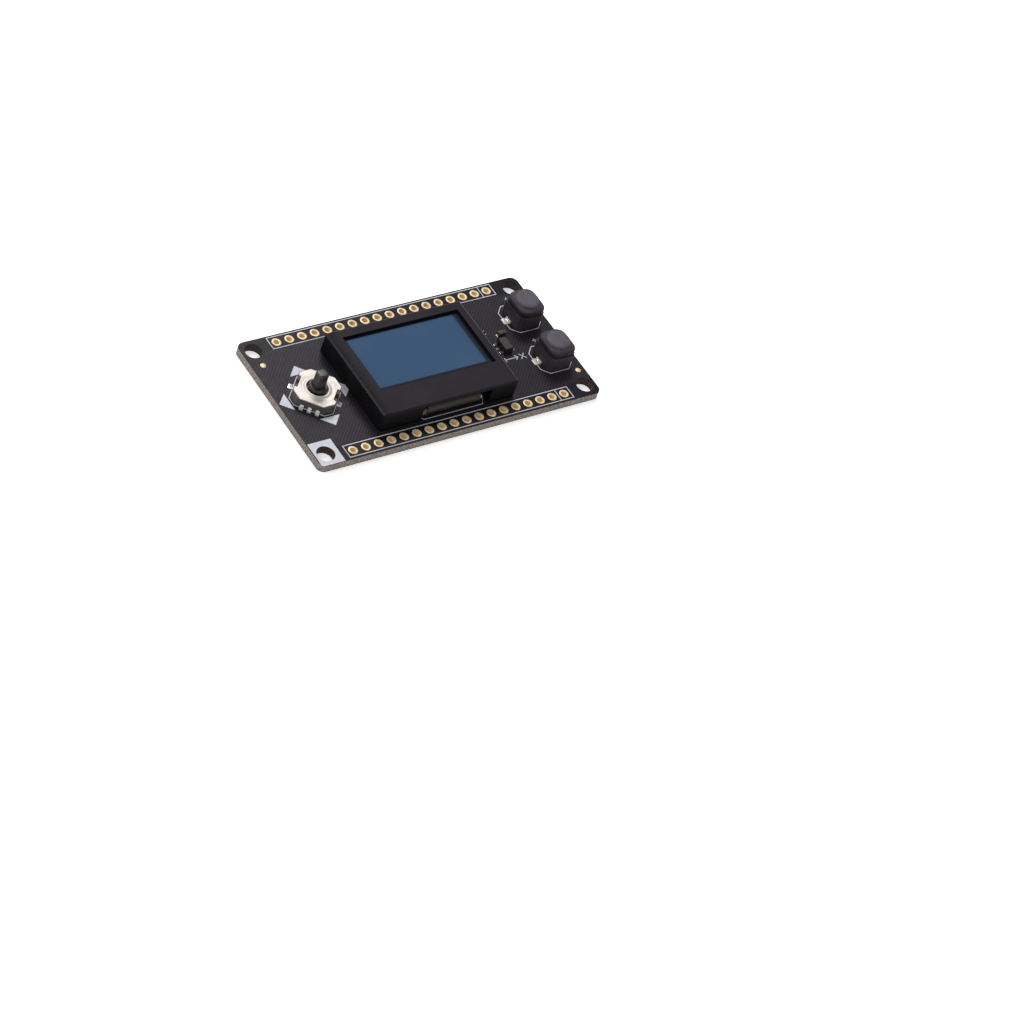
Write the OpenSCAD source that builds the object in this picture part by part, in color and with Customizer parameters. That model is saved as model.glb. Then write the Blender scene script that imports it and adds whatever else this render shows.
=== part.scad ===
// Small OLED module: a board with a framed display, two push buttons and a five-way stick.
// The origin is the middle of the board's underside, +X runs along the board to the buttons.

/* [Board] */
// Length of the board
board_l = 57.4; // [57:0.1:80]
// Width of the board
board_w = 28.8; // [28.6:0.1:40]
// Thickness of the board
board_t = 1.6; // [1:0.1:2.4]
// Radius of the board's corners
board_corner_r = 1.3; // [0.5:0.1:2]
// Diameter of the mounting holes
mount_hole_d = 3.1; // [2.2:0.1:3.8]
// From the board's end to the mounting holes
mount_inset_x = 2.2; // [2:0.1:3]
// From the board's side to the mounting holes
mount_inset_y = 2.4; // [2:0.1:3]

/* [Header pads] */
// Pitch of the header pads
pad_pitch = 2.54; // [2.54:0.01:3.2]
// From the board's side to a row of pads
pad_inset = 1.7; // [1.5:0.1:2]
// Diameter of a pad's ring
pad_d = 1.7; // [1.5:0.05:2]
// Diameter of a pad's hole
pad_hole_d = 1.0; // [0.8:0.05:1.1]
// Thickness of the copper plating inside a pad's hole
plating_t = 0.05; // [0.03:0.01:0.08]
// Thickness of the copper on the board's faces
copper_t = 0.04; // [0.03:0.01:0.08]
// Least space between a mounting hole and the nearest pad
pad_hole_space = 1.0; // [0.5:0.1:2]
// Diameter of an alignment mark
mark_d = 1.0; // [0.8:0.1:1.5]

/* [Display frame] */
// Length of the frame
frame_l = 27.5; // [26:0.1:31]
// Width of the frame
frame_w = 19.7; // [19:0.1:22]
// Height of the frame above the board
frame_h = 3.85; // [3.2:0.05:5]
// Thickness of the frame's side walls
frame_wall = 0.4; // [0.3:0.05:0.8]
// Thickness of the frame's front, round the window
frame_front_t = 0.6; // [0.4:0.05:1]
// Chamfer round the frame's front edge
frame_chamfer = 0.25; // [0.1:0.05:0.4]
// Radius of the frame's upright corners
frame_corner_r = 0.4; // [0.2:0.05:0.8]
// From the middle of the board to the middle of the frame, along the board
frame_x = -1.4; // [-2:0.1:1]
// From the middle of the board to the middle of the frame, across the board
frame_y = -0.7; // [-1.5:0.1:0.5]
// Length of the window
window_l = 23.45; // [20:0.05:24]
// Width of the window
window_w = 12.6; // [11:0.05:13]
// From the middle of the frame to the middle of the window, along the board
window_x = 0.43; // [0:0.01:0.6]
// From the middle of the frame to the middle of the window, across the board
window_y = 1.7; // [1.2:0.05:2]

/* [Display panel] */
// Space between the panel and the frame's walls
panel_gap = 0.1; // [0.05:0.05:0.3]
// From the frame's outside to the fold of the flex tail
fold_inset = 0.45; // [0.3:0.05:1]
// Thickness of the front glass
front_glass_t = 0.7; // [0.5:0.05:0.7]
// Thickness of the rear glass
rear_glass_t = 0.6; // [0.4:0.05:0.7]
// Thickness of the polariser film
polariser_t = 0.2; // [0.15:0.01:0.25]
// How far the polariser runs under the frame on each side of the window
polariser_border = 0.6; // [0.3:0.05:0.8]
// Width of the front glass's ledge, which the rear glass leaves free
ledge_w = 3.7; // [3.4:0.1:4.5]
// Length of the driver chip
driver_l = 10.8; // [8:0.1:14]
// Width of the driver chip
driver_w = 0.9; // [0.7:0.05:1.2]
// Thickness of the driver chip
driver_t = 0.3; // [0.2:0.05:0.4]
// Space between the flex tail and the driver chip
driver_space = 0.7; // [0.3:0.1:0.9]
// Width of the flex tail
flex_w = 10.8; // [8:0.1:12]
// Thickness of the flex tail
flex_t = 0.12; // [0.08:0.01:0.16]
// From the middle of the frame to the middle of the flex tail
flex_x = 1.4; // [0:0.1:2]
// Length of the flex tail bonded under the glass
flex_bond = 1.0; // [0.6:0.1:1.2]
// Length of the flex tail soldered flat on the board
flex_foot = 2.0; // [1.5:0.1:3]
// Space between the flex tail and each end of the frame's notch
notch_space = 1.5; // [0.5:0.1:2]
// Width of a foam strip under the panel
foam_w = 2.0; // [1:0.1:3]
// Length of a foam strip under the panel
foam_l = 12.0; // [8:0.1:13]
// From the panel's end to a foam strip
foam_inset = 0.4; // [0.2:0.1:1]

/* [Small components] */
// Length of a small capacitor or resistor
passive_l = 1.6; // [1:0.1:2]
// Width of a small capacitor or resistor
passive_w = 0.8; // [0.5:0.05:1]
// Height of a small capacitor
capacitor_h = 0.8; // [0.5:0.05:1]
// Height of a resistor
resistor_h = 0.45; // [0.3:0.05:0.6]
// Length of the metal cap on each end of a small capacitor or resistor
end_cap_l = 0.3; // [0.2:0.05:0.4]
// Space between neighbouring small components under the panel
passive_step = 3.6; // [2.6:0.1:3.8]
// Width of the support chip's body, along the board
chip_w = 1.6; // [1.3:0.05:1.7]
// Length of the support chip's body, across the board
chip_l = 2.8; // [2.4:0.05:3]
// Height of the support chip above the board
chip_h = 1.1; // [0.8:0.05:1.3]
// From the frame's end to the middle of the support chip
chip_space = 4.8; // [3:0.1:5]
// Space under the support chip's body
chip_stand_off = 0.1; // [0.05:0.05:0.2]
// Pitch of the support chip's leads
lead_pitch = 0.95; // [0.8:0.01:1]
// Width of a lead of the support chip
lead_w = 0.4; // [0.3:0.02:0.5]
// How far a lead of the support chip reaches out of its body
lead_reach = 0.6; // [0.4:0.05:0.7]

/* [Push buttons] */
// Size of a button's housing along the board
button_l = 5.2; // [5:0.1:6]
// Size of a button's housing across the board
button_w = 5.8; // [5.5:0.1:6.6]
// Chamfer on the upright edges of a button's housing
button_chamfer = 0.7; // [0.4:0.05:0.9]
// From the board's end to the middle of a button
button_inset = 4.6; // [4:0.1:5.5]
// Distance between the two buttons
button_gap = 10.0; // [8:0.1:11]
// From the middle of the board to the middle of the pair of buttons
button_y = 0.25; // [-0.5:0.05:0.5]
// Height of a button's base
button_base_h = 0.9; // [0.8:0.05:1.2]
// Thickness of the base's floor under the snap dome
button_floor_t = 0.45; // [0.35:0.05:0.6]
// Height of a button's housing above the board
button_housing_h = 2.9; // [2.7:0.05:3.4]
// Thickness of the housing's top
button_lip_t = 0.5; // [0.4:0.05:0.6]
// Radius of a button's plunger
plunger_r = 1.6; // [1.3:0.05:1.9]
// How far the plunger's flange reaches under the housing's top
plunger_flange_w = 0.4; // [0.2:0.05:0.5]
// Thickness of the plunger's flange
plunger_flange_t = 0.4; // [0.3:0.05:0.5]
// Radial clearance round a button's plunger
plunger_gap = 0.1; // [0.05:0.01:0.1]
// How far a button travels
button_travel = 0.25; // [0.15:0.05:0.35]
// Spare space left when a button or the stick is fully pressed
press_spare = 0.05; // [0.03:0.01:0.1]
// Height of the dark lower part of a button's cap
cap_h = 1.1; // [0.9:0.05:1.4]
// How far the cap is set back from the housing's two long sides
cap_inset = 0.05; // [0:0.05:0.2]
// Radius of the cap's upright corners
cap_corner_r = 1.5; // [1:0.05:1.8]
// Chamfer round the top of the cap's lower part
cap_chamfer = 0.4; // [0.2:0.05:0.5]
// Width of the ledge round the cap's round top
cap_ledge = 0.4; // [0.2:0.05:0.6]
// Height of the round top of the cap
cap_top_h = 0.45; // [0.3:0.05:0.9]
// Width of a button's terminal
button_leg_w = 1.4; // [1:0.1:1.6]
// How far a button's terminal reaches out of its housing
button_leg_reach = 1.0; // [0.6:0.1:1.2]

/* [Stick switch] */
// Size of the stick switch's body, which is turned by 45 degrees
stick_body = 7.4; // [7:0.1:8]
// Chamfer on the corners of the stick switch's base
stick_base_chamfer = 1.2; // [0.8:0.1:1.5]
// Height of the stick switch's base
stick_base_h = 1.6; // [1.5:0.05:1.9]
// Thickness of the base's floor
stick_floor_t = 0.5; // [0.4:0.05:0.6]
// From the board's end to the middle of the stick
stick_inset = 7.2; // [6.5:0.1:8]
// Thickness of the sheet metal of the cover
cover_t = 0.2; // [0.15:0.05:0.25]
// How far the cover hangs over the two sides with terminals
cover_overhang = 0.05; // [0:0.05:0.2]
// How far the cover is set back from the two sides with tabs
cover_inset = 0.1; // [0:0.05:0.3]
// Chamfer on the corners of the cover
cover_chamfer = 1.5; // [1.2:0.05:1.8]
// Space between the stick's flange and the hole in the cover
flange_gap = 0.15; // [0.15:0.05:0.3]
// Width of the raised bead round the hole
bead_w = 0.4; // [0.3:0.05:0.6]
// Height of the raised bead above the cover
bead_h = 0.18; // [0.1:0.02:0.3]
// Width of the cover's two solder tabs
tab_w = 0.95; // [0.7:0.05:1.2]
// How far a solder tab reaches past the base
tab_reach = 0.65; // [0.5:0.05:0.8]
// Length of the recess in the cover's edge, round each solder tab
tab_recess_l = 2.8; // [2:0.1:3]
// Depth of the recess in the cover's edge
tab_recess_d = 0.45; // [0.3:0.05:0.6]
// Width of a terminal of the stick switch
stick_leg_w = 0.65; // [0.5:0.05:0.8]
// Pitch of the terminals of the stick switch
stick_leg_pitch = 1.4; // [1.2:0.05:1.6]
// How far a terminal reaches out of the stick switch's base
stick_leg_reach = 0.45; // [0.35:0.05:0.6]
// Width across the square shaft of the stick
shaft_w = 1.9; // [1.5:0.1:2.1]
// Chamfer on the edges of the shaft
shaft_chamfer = 0.35; // [0.2:0.05:0.4]
// Height of the top of the stick above the board
stick_h = 5.4; // [5:0.1:6.5]
// Radius of the stick's flange
flange_r = 1.7; // [1.6:0.05:2]
// Height of the stick's flange, whose upper half tapers
flange_t = 0.8; // [0.6:0.05:1]
// How much smaller the flange's radius is at its top
flange_taper = 0.25; // [0.1:0.05:0.4]
// Radius of the stick's stem, below the flange
stem_r = 0.75; // [0.6:0.05:0.8]
// How far the stick travels when it is pressed
stick_travel = 0.2; // [0.1:0.05:0.25]
// How far the stem reaches below the tilt axes
stem_drop = 0.15; // [0.15:0.01:0.2]
// Radius of the pivot pins
pivot_pin_r = 0.12; // [0.1:0.01:0.15]
// Radial clearance of a pivot pin
pivot_gap = 0.03; // [0.02:0.01:0.05]
// Space between one ring of the stick's mechanism and the next
ring_gap = 0.15; // [0.12:0.01:0.2]
// Width of the tilt ring
tilt_ring_w = 0.4; // [0.3:0.05:0.4]
// Height of the tilt ring
tilt_ring_h = 0.36; // [0.3:0.02:0.4]
// Radial clearance between the carrier and the base
carrier_gap = 0.05; // [0.03:0.01:0.1]
// Width of the carrier
carrier_w = 1.0; // [0.7:0.05:1.2]
// Height of the carrier
carrier_h = 0.57; // [0.5:0.01:0.6]

/* [Hidden] */
$fn = 48;

// Extra length for a cut that runs out through a face
cut = 1;

// Board and header layout
mount_x = board_l / 2 - mount_inset_x;
mount_y = board_w / 2 - mount_inset_y;
pad_row_y = board_w / 2 - pad_inset;
pad_room = mount_x - mount_hole_d / 2 - pad_d / 2 - pad_hole_space;
pad_count = 2 * floor(pad_room / pad_pitch + 0.5);
barrel_r = pad_hole_d / 2 + plating_t;
far_mark = [-board_l / 2 + 2.1, board_w / 2 - 5.8];
near_mark = [board_l / 2 - 1.4, -board_w / 2 + 5.7];

// Levels inside the display, above the board's top
front_under = frame_h - frame_front_t;
glass_top = front_under - polariser_t;
glass_under = glass_top - front_glass_t;
rear_under = glass_under - rear_glass_t;

// Plan of the display, from the middle of the frame
panel_l = frame_l - 2 * (frame_wall + panel_gap);
panel_far = frame_w / 2 - frame_wall - panel_gap;
fold_r = glass_under / 2;
panel_near = -frame_w / 2 + fold_inset + fold_r;
notch_l = flex_w + 2 * notch_space;
driver_near = panel_near + flex_bond + driver_space;
passive_mid_y = (panel_far + panel_near + ledge_w) / 2;

// Places of the parts beside the display
chip_at = [frame_x + frame_l / 2 + chip_space, -0.05];
chip_capacitor_at = chip_at + [1.15, 2.7];
button_x = board_l / 2 - button_inset;
far_button_at = [button_x, button_y + button_gap / 2];
near_button_at = [button_x, button_y - button_gap / 2];
stick_at = [-board_l / 2 + stick_inset, 0];

// Leads, terminals and domes
lead_t = 0.12;
terminal_t = 0.15;
dome_t = 0.06;
dome_rise = 0.35;
dome_space = 0.35;
stick_dome_rise = 0.12;
stick_dome_r = 0.7;
leaf_r = 0.35;

// Sizes inside a button, and levels above the board's top
plunger_foot = button_floor_t + dome_t + dome_rise + button_travel + press_spare;
plunger_flange_r = plunger_r + plunger_flange_w;
button_well_r = plunger_flange_r + plunger_gap;
dome_r = button_well_r - dome_space;
button_leg_inside = button_l / 2 - dome_r / 2;
cap_foot = button_housing_h + button_travel + press_spare;
cap_w = button_w - 2 * cap_inset;
cap_top_r = button_l / 2 - cap_ledge;

// Levels and radii inside the stick switch, above the board's top
stem_foot = stick_floor_t + stick_dome_rise + dome_t + stick_travel + press_spare;
pivot_h = stem_foot + stem_drop;
flange_top = stick_base_h + cover_t + flange_t;
tilt_ring_in = stem_r + ring_gap;
tilt_ring_out = tilt_ring_in + tilt_ring_w;
carrier_in = tilt_ring_out + ring_gap;
carrier_out = carrier_in + carrier_w;
stick_well_r = carrier_out + carrier_gap;
leaf_ring_r = (carrier_in + carrier_out) / 2;
cover_l = stick_body + 2 * cover_overhang;
cover_w = stick_body - 2 * cover_inset;
cover_hole_r = flange_r + flange_gap;
tab_gap = 0.05;
tab_face = max(cover_w / 2 - tab_recess_d, stick_well_r + 0.2 + tab_gap + cover_t);
carrier_foot = stick_floor_t + dome_t + stick_travel + press_spare;
pin_bite = 0.3;

// A rectangle with round corners
module rounded_rect(l, w, r) {
    square([l - 2 * r, w], center = true);
    square([l, w - 2 * r], center = true);
    for (x = [-1, 1], y = [-1, 1])
        translate([x * (l / 2 - r), y * (w / 2 - r)]) circle(r);
}

// A rectangle with its corners cut off
module chamfered_rect(l, w, c) {
    polygon([
        [l / 2, w / 2 - c], [l / 2 - c, w / 2], [c - l / 2, w / 2], [-l / 2, w / 2 - c],
        [-l / 2, c - w / 2], [c - l / 2, -w / 2], [l / 2 - c, -w / 2], [l / 2, c - w / 2]
    ]);
}

// The side view of a block whose top edges are chamfered
module chamfered_side(l, h, c) {
    polygon([[-l / 2, 0], [l / 2, 0], [l / 2, h - c], [l / 2 - c, h], [c - l / 2, h], [-l / 2, h - c]]);
}

// A block with round upright corners and chamfered top edges
module chamfered_block(l, w, h, r, c) {
    intersection() {
        linear_extrude(h) rounded_rect(l, w, r);
        rotate([90, 0, 0]) linear_extrude(w, center = true) chamfered_side(l, h, c);
        rotate([90, 0, 90]) linear_extrude(l, center = true) chamfered_side(w, h, c);
    }
}

// A cuboid centred on the origin, from level z up
module block(l, w, h, z = 0) {
    translate([0, 0, z]) linear_extrude(h) square([l, w], center = true);
}

// Lifts what follows onto the board's top face
module on_board(at = [0, 0]) {
    translate([at[0], at[1], board_t]) children();
}

// The places of the pads along a row
function pad_places() = [for (i = [0 : pad_count - 1]) (i - (pad_count - 1) / 2) * pad_pitch];

// The bare board, with its mounting holes and the seats for the plated pads
module circuit_board() {
    color([0.13, 0.12, 0.14])
    difference() {
        linear_extrude(board_t)
        difference() {
            rounded_rect(board_l, board_w, board_corner_r);
            for (x = [-1, 1], y = [-1, 1])
                translate([x * mount_x, y * mount_y]) circle(d = mount_hole_d);
            for (x = pad_places(), side = [-1, 1])
                translate([x, side * pad_row_y]) circle(barrel_r);
        }
        for (x = pad_places(), side = [-1, 1])
            translate([x, side * pad_row_y, -cut]) cylinder(h = copper_t + cut, d = pad_d);
    }
}

// One row of plated holes, with a ring on each face of the board
module header_pads(side) {
    color([0.85, 0.7, 0.42])
    for (x = pad_places())
        translate([x, side * pad_row_y])
        rotate_extrude()
        polygon([
            [pad_hole_d / 2, 0], [pad_d / 2, 0], [pad_d / 2, copper_t], [barrel_r, copper_t],
            [barrel_r, board_t], [pad_d / 2, board_t], [pad_d / 2, board_t + copper_t],
            [pad_hole_d / 2, board_t + copper_t]
        ]);
}

// Two bare copper discs that placement machines look for
module alignment_marks() {
    color([0.85, 0.7, 0.42])
    for (place = [far_mark, near_mark])
        on_board(place) cylinder(h = copper_t, d = mark_d);
}

// The moulded frame: four thin walls, a front with a window, and a notch for the flex tail
module display_frame() {
    color([0.16, 0.15, 0.17])
    on_board([frame_x, frame_y])
    difference() {
        chamfered_block(frame_l, frame_w, frame_h, frame_corner_r, frame_chamfer);
        block(frame_l - 2 * frame_wall, frame_w - 2 * frame_wall, front_under + cut, -cut);
        translate([window_x, window_y, 0]) block(window_l, window_w, frame_h + cut);
        translate([flex_x, -frame_w / 2, 0]) block(notch_l, 4 * frame_wall, front_under + cut, -cut);
    }
}

// The polariser film on the front glass, which shows in the window
module display_polariser() {
    color([0.25, 0.35, 0.47])
    on_board([frame_x + window_x, frame_y + window_y])
    block(window_l + 2 * polariser_border, window_w + 2 * polariser_border, polariser_t, glass_top);
}

// The front glass, which carries the pixels and has a free ledge at its near edge
module display_front_glass() {
    color([0.5, 0.56, 0.58])
    on_board([frame_x, frame_y + (panel_far + panel_near) / 2])
    block(panel_l, panel_far - panel_near, front_glass_t, glass_under);
}

// The rear glass, which seals the pixels
module display_rear_glass() {
    color([0.42, 0.47, 0.5])
    on_board([frame_x, frame_y + passive_mid_y])
    block(panel_l, panel_far - panel_near - ledge_w, rear_glass_t, rear_under);
}

// The bare driver chip, bonded under the ledge of the front glass
module display_driver_chip() {
    color([0.3, 0.3, 0.33])
    on_board([frame_x + flex_x, frame_y + driver_near + driver_w / 2])
    block(driver_l, driver_w, driver_t, glass_under - driver_t);
}

// The side view of the flex tail: bonded under the glass, folded round, soldered to the board
module flex_side() {
    difference() {
        circle(fold_r);
        circle(fold_r - flex_t);
        translate([0, -fold_r - cut]) square(2 * (fold_r + cut));
    }
    translate([0, fold_r - flex_t]) square([flex_bond, flex_t]);
    translate([0, -fold_r]) square([flex_foot, flex_t]);
}

// The flex tail, which joins the panel to the board
module display_flex_tail() {
    color([0.5, 0.42, 0.25])
    on_board([frame_x + flex_x, frame_y + panel_near])
    translate([0, 0, fold_r])
    rotate([90, 0, 90]) linear_extrude(flex_w, center = true) flex_side();
}

// Two foam strips that press the panel up against the frame
module display_foam_strips() {
    color([0.2, 0.2, 0.21])
    on_board([frame_x, frame_y + passive_mid_y])
    for (side = [-1, 1])
        translate([side * (panel_l / 2 - foam_inset - foam_w / 2), 0, 0])
        block(foam_w, foam_l, rear_under);
}

// A row of places for small components under the panel, along the board
function passive_row(count, y) = [for (i = [0 : count - 1])
    [frame_x + (i - (count - 1) / 2) * passive_step, frame_y + passive_mid_y + y]];

capacitor_places = [each passive_row(5, 2.4), chip_capacitor_at];
resistor_places = passive_row(3, -2.4);

// The body of a small component, between its metal end caps
module passive_body(l, w, h) {
    block(l - 2 * end_cap_l, w, h);
}

// The two metal end caps of a small component
module passive_ends(l, w, h) {
    for (side = [-1, 1])
        translate([side * (l - end_cap_l) / 2, 0, 0]) block(end_cap_l, w, h);
}

// Ceramic capacitors: five under the panel and one beside the support chip
module capacitor_bodies() {
    color([0.6, 0.48, 0.34])
    for (place = capacitor_places)
        on_board(place) passive_body(passive_l, passive_w, capacitor_h);
}

// The capacitors' metal end caps
module capacitor_ends() {
    color([0.75, 0.75, 0.75])
    for (place = capacitor_places)
        on_board(place) passive_ends(passive_l, passive_w, capacitor_h);
}

// Resistors under the panel
module resistor_bodies() {
    color([0.12, 0.12, 0.13])
    for (place = resistor_places)
        on_board(place) passive_body(passive_l, passive_w, resistor_h);
}

// The resistors' metal end caps
module resistor_ends() {
    color([0.75, 0.75, 0.75])
    for (place = resistor_places)
        on_board(place) passive_ends(passive_l, passive_w, resistor_h);
}

// The moulded body of the small six-lead chip
module support_chip() {
    color([0.22, 0.21, 0.22])
    on_board(chip_at) block(chip_w, chip_l, chip_h - chip_stand_off, chip_stand_off);
}

// The chip's six leads, bent down to the board
module support_chip_leads() {
    color([0.78, 0.77, 0.75])
    on_board(chip_at)
    for (side = [0, 180], place = [-1, 0, 1])
        rotate(side)
        translate([chip_w / 2, place * lead_pitch, 0])
        rotate([90, 0, 0]) linear_extrude(lead_w, center = true)
        terminal_side(0, lead_reach, chip_h / 2, lead_t);
}

// The side view of a bent terminal: in through the wall at x = 0, down, and out along the board
module terminal_side(inside, reach, rise, t) {
    polygon([
        [-inside, rise - t], [0, rise - t], [0, 0], [reach, 0], [reach, t], [t, t], [t, rise],
        [-inside, rise]
    ]);
}

// The two terminals of a button, one on each side
module button_terminals(at) {
    color([0.8, 0.79, 0.77])
    on_board(at)
    for (side = [0, 180])
        rotate(side)
        translate([button_l / 2, 0, 0])
        rotate([90, 0, 0]) linear_extrude(button_leg_w, center = true)
        terminal_side(button_leg_inside, button_leg_reach, button_floor_t, terminal_t);
}

// A button's base: a floor with a well for the snap dome, and slots for the terminals
module button_base(at) {
    color([0.1, 0.1, 0.11])
    on_board(at)
    difference() {
        linear_extrude(button_base_h) chamfered_rect(button_l, button_w, button_chamfer);
        translate([0, 0, button_floor_t]) cylinder(h = button_base_h, r = button_well_r);
        for (side = [-1, 1])
            translate([side * (button_l - button_leg_inside) / 2, 0, 0])
            block(button_leg_inside, button_leg_w, terminal_t, button_floor_t - terminal_t);
    }
}

// A thin domed disc of spring steel, standing on level z
module snap_dome(r, rise, z) {
    translate([0, 0, z])
    rotate_extrude()
    polygon([
        [0, rise], [r * 0.35, rise], [r * 0.9, 0], [r, 0], [r, dome_t], [r * 0.9, dome_t],
        [r * 0.35, rise + dome_t], [0, rise + dome_t]
    ]);
}

// The snap dome of a button
module button_dome(at) {
    color([0.72, 0.72, 0.7])
    on_board(at) snap_dome(dome_r, dome_rise, button_floor_t);
}

// A button's housing, whose top holds the cap's flange down
module button_housing(at) {
    color([0.1, 0.1, 0.11])
    on_board(at)
    translate([0, 0, button_base_h])
    difference() {
        linear_extrude(button_housing_h - button_base_h)
            chamfered_rect(button_l, button_w, button_chamfer);
        translate([0, 0, -cut])
            cylinder(h = button_housing_h - button_base_h - button_lip_t + cut, r = button_well_r);
        cylinder(h = button_housing_h, r = plunger_r + plunger_gap);
    }
}

// A button's cap, with its plunger and the flange that keeps it in the housing
module button_cap(at) {
    color([0.2, 0.19, 0.21])
    on_board(at) {
        translate([0, 0, plunger_foot]) cylinder(h = cap_foot - plunger_foot, r = plunger_r);
        translate([0, 0, button_housing_h - button_lip_t - press_spare - plunger_flange_t])
            cylinder(h = plunger_flange_t, r = plunger_flange_r);
        translate([0, 0, cap_foot])
            chamfered_block(button_l, cap_w, cap_h, cap_corner_r, cap_chamfer);
        translate([0, 0, cap_foot + cap_h]) cylinder(h = cap_top_h, r = cap_top_r);
    }
}

// Turns what follows by 45 degrees, as the stick switch's body stands on the board
module on_stick_body() {
    on_board(stick_at) rotate(45) children();
}

// The six terminals of the stick switch, three on each of two sides
module stick_switch_terminals() {
    color([0.8, 0.79, 0.77])
    on_stick_body()
    for (side = [0, 180], place = [-1, 0, 1])
        rotate(side)
        translate([stick_body / 2, place * stick_leg_pitch, 0])
        rotate([90, 0, 0]) linear_extrude(stick_leg_w, center = true)
        terminal_side(stick_body / 2 - leaf_ring_r, stick_leg_reach, stick_floor_t, terminal_t);
}

// The stick switch's base: a well for the carrier, slots for the terminals and grooves for the tabs
module stick_switch_base() {
    color([0.12, 0.12, 0.13])
    on_stick_body()
    difference() {
        linear_extrude(stick_base_h) chamfered_rect(stick_body, stick_body, stick_base_chamfer);
        translate([0, 0, stick_floor_t]) cylinder(h = stick_base_h, r = stick_well_r);
        for (side = [-1, 1], place = [-1, 0, 1])
            translate([side * (stick_body / 2 + leaf_ring_r) / 2, place * stick_leg_pitch, 0])
            block(stick_body / 2 - leaf_ring_r, stick_leg_w, terminal_t, stick_floor_t - terminal_t);
        for (side = [0, 180])
            rotate(side)
            translate([0, tab_face - cover_t - tab_gap + stick_body / 2, 0])
            block(tab_w + 2 * tab_gap, stick_body, stick_base_h + 2 * cut, -cut);
    }
}

// The middle snap dome and the four spring contacts round it
module stick_switch_domes() {
    color([0.72, 0.72, 0.7])
    on_board(stick_at) {
        snap_dome(stick_dome_r, stick_dome_rise, stick_floor_t);
        for (turn = [0 : 90 : 270])
            rotate(turn) translate([leaf_ring_r, 0, stick_floor_t]) cylinder(h = dome_t, r = leaf_r);
    }
}

// The plan of the cover's top, with a recess in the edge round each of its two tabs
module cover_plan() {
    difference() {
        chamfered_rect(cover_l, cover_w, cover_chamfer);
        for (side = [-1, 1])
            translate([0, side * cover_w / 2])
            square([tab_recess_l, cover_w - 2 * tab_face], center = true);
    }
}

// The sheet-metal cover: a top with a beaded hole, and two tabs soldered to the board
module stick_switch_cover() {
    color([0.86, 0.84, 0.8])
    on_stick_body() {
        translate([0, 0, stick_base_h])
        linear_extrude(cover_t)
        difference() {
            cover_plan();
            circle(cover_hole_r);
        }
        translate([0, 0, stick_base_h + cover_t])
        rotate_extrude()
        polygon([
            [cover_hole_r, 0], [cover_hole_r + bead_w, 0], [cover_hole_r + bead_w * 0.7, bead_h],
            [cover_hole_r, bead_h]
        ]);
        for (side = [0, 180])
            rotate(side)
            translate([0, tab_face - cover_t, 0])
            rotate([90, 0, 90]) linear_extrude(tab_w, center = true)
            tab_side();
    }
}

// The side view of a tab: down through its groove in the base, then out along the board
module tab_side() {
    square([cover_t, stick_base_h]);
    square([stick_body / 2 + tab_reach - tab_face + cover_t, terminal_t]);
}

// The carrier, which slides in the base when the stick is pressed
module stick_carrier() {
    color([0.3, 0.3, 0.31])
    on_board(stick_at)
    difference() {
        translate([0, 0, carrier_foot]) cylinder(h = carrier_h, r = carrier_out);
        translate([0, 0, carrier_foot - cut]) cylinder(h = carrier_h + 2 * cut, r = carrier_in);
        translate([0, 0, pivot_h]) rotate([0, 90, 0])
            cylinder(h = 2 * (tilt_ring_out + pin_bite + ring_gap + pivot_gap), r = pivot_pin_r + pivot_gap,
                center = true);
    }
}

// The tilt ring, which turns about X on two pins in the carrier
module stick_tilt_ring() {
    color([0.5, 0.5, 0.5])
    on_board(stick_at) {
        difference() {
            translate([0, 0, pivot_h - tilt_ring_h / 2]) cylinder(h = tilt_ring_h, r = tilt_ring_out);
            translate([0, 0, pivot_h - cut]) cylinder(h = 2 * cut, r = tilt_ring_in);
            translate([0, 0, pivot_h]) rotate([90, 0, 0])
                cylinder(h = 2 * (tilt_ring_out + cut), r = pivot_pin_r + pivot_gap, center = true);
        }
        for (side = [0, 180])
            translate([0, 0, pivot_h]) rotate([0, 90, side])
            translate([0, 0, tilt_ring_out - tilt_ring_w / 2])
                cylinder(h = tilt_ring_w / 2 + ring_gap + pin_bite, r = pivot_pin_r);
    }
}

// The stick, which turns about Y on two pins in the tilt ring
module stick() {
    color([0.2, 0.19, 0.21])
    on_board(stick_at) {
        translate([0, 0, stem_foot]) cylinder(h = flange_top - stem_foot, r = stem_r);
        translate([0, 0, flange_top - flange_t]) cylinder(h = flange_t / 2, r = flange_r);
        translate([0, 0, flange_top - flange_t / 2])
            cylinder(h = flange_t / 2, r1 = flange_r, r2 = flange_r - flange_taper);
        translate([0, 0, flange_top])
            linear_extrude(stick_h - flange_top) chamfered_rect(shaft_w, shaft_w, shaft_chamfer);
        translate([0, 0, pivot_h]) rotate([90, 0, 0])
            cylinder(h = 2 * (stem_r + ring_gap + pin_bite), r = pivot_pin_r, center = true);
    }
}

circuit_board();
header_pads(1);  // header_pads_far
header_pads(-1);  // header_pads_near
alignment_marks();
display_frame();
display_polariser();
display_front_glass();
display_rear_glass();
display_driver_chip();
display_flex_tail();
display_foam_strips();
capacitor_bodies();
capacitor_ends();
resistor_bodies();
resistor_ends();
support_chip();
support_chip_leads();
button_base(far_button_at);  // far_button_base
button_terminals(far_button_at);  // far_button_terminals
button_dome(far_button_at);  // far_button_dome
button_housing(far_button_at);  // far_button_housing
button_cap(far_button_at);  // far_button_cap
button_base(near_button_at);  // near_button_base
button_terminals(near_button_at);  // near_button_terminals
button_dome(near_button_at);  // near_button_dome
button_housing(near_button_at);  // near_button_housing
button_cap(near_button_at);  // near_button_cap
stick_switch_base();
stick_switch_terminals();
stick_switch_domes();
stick_switch_cover();
stick_carrier();
stick_tilt_ring();
stick();
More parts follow.
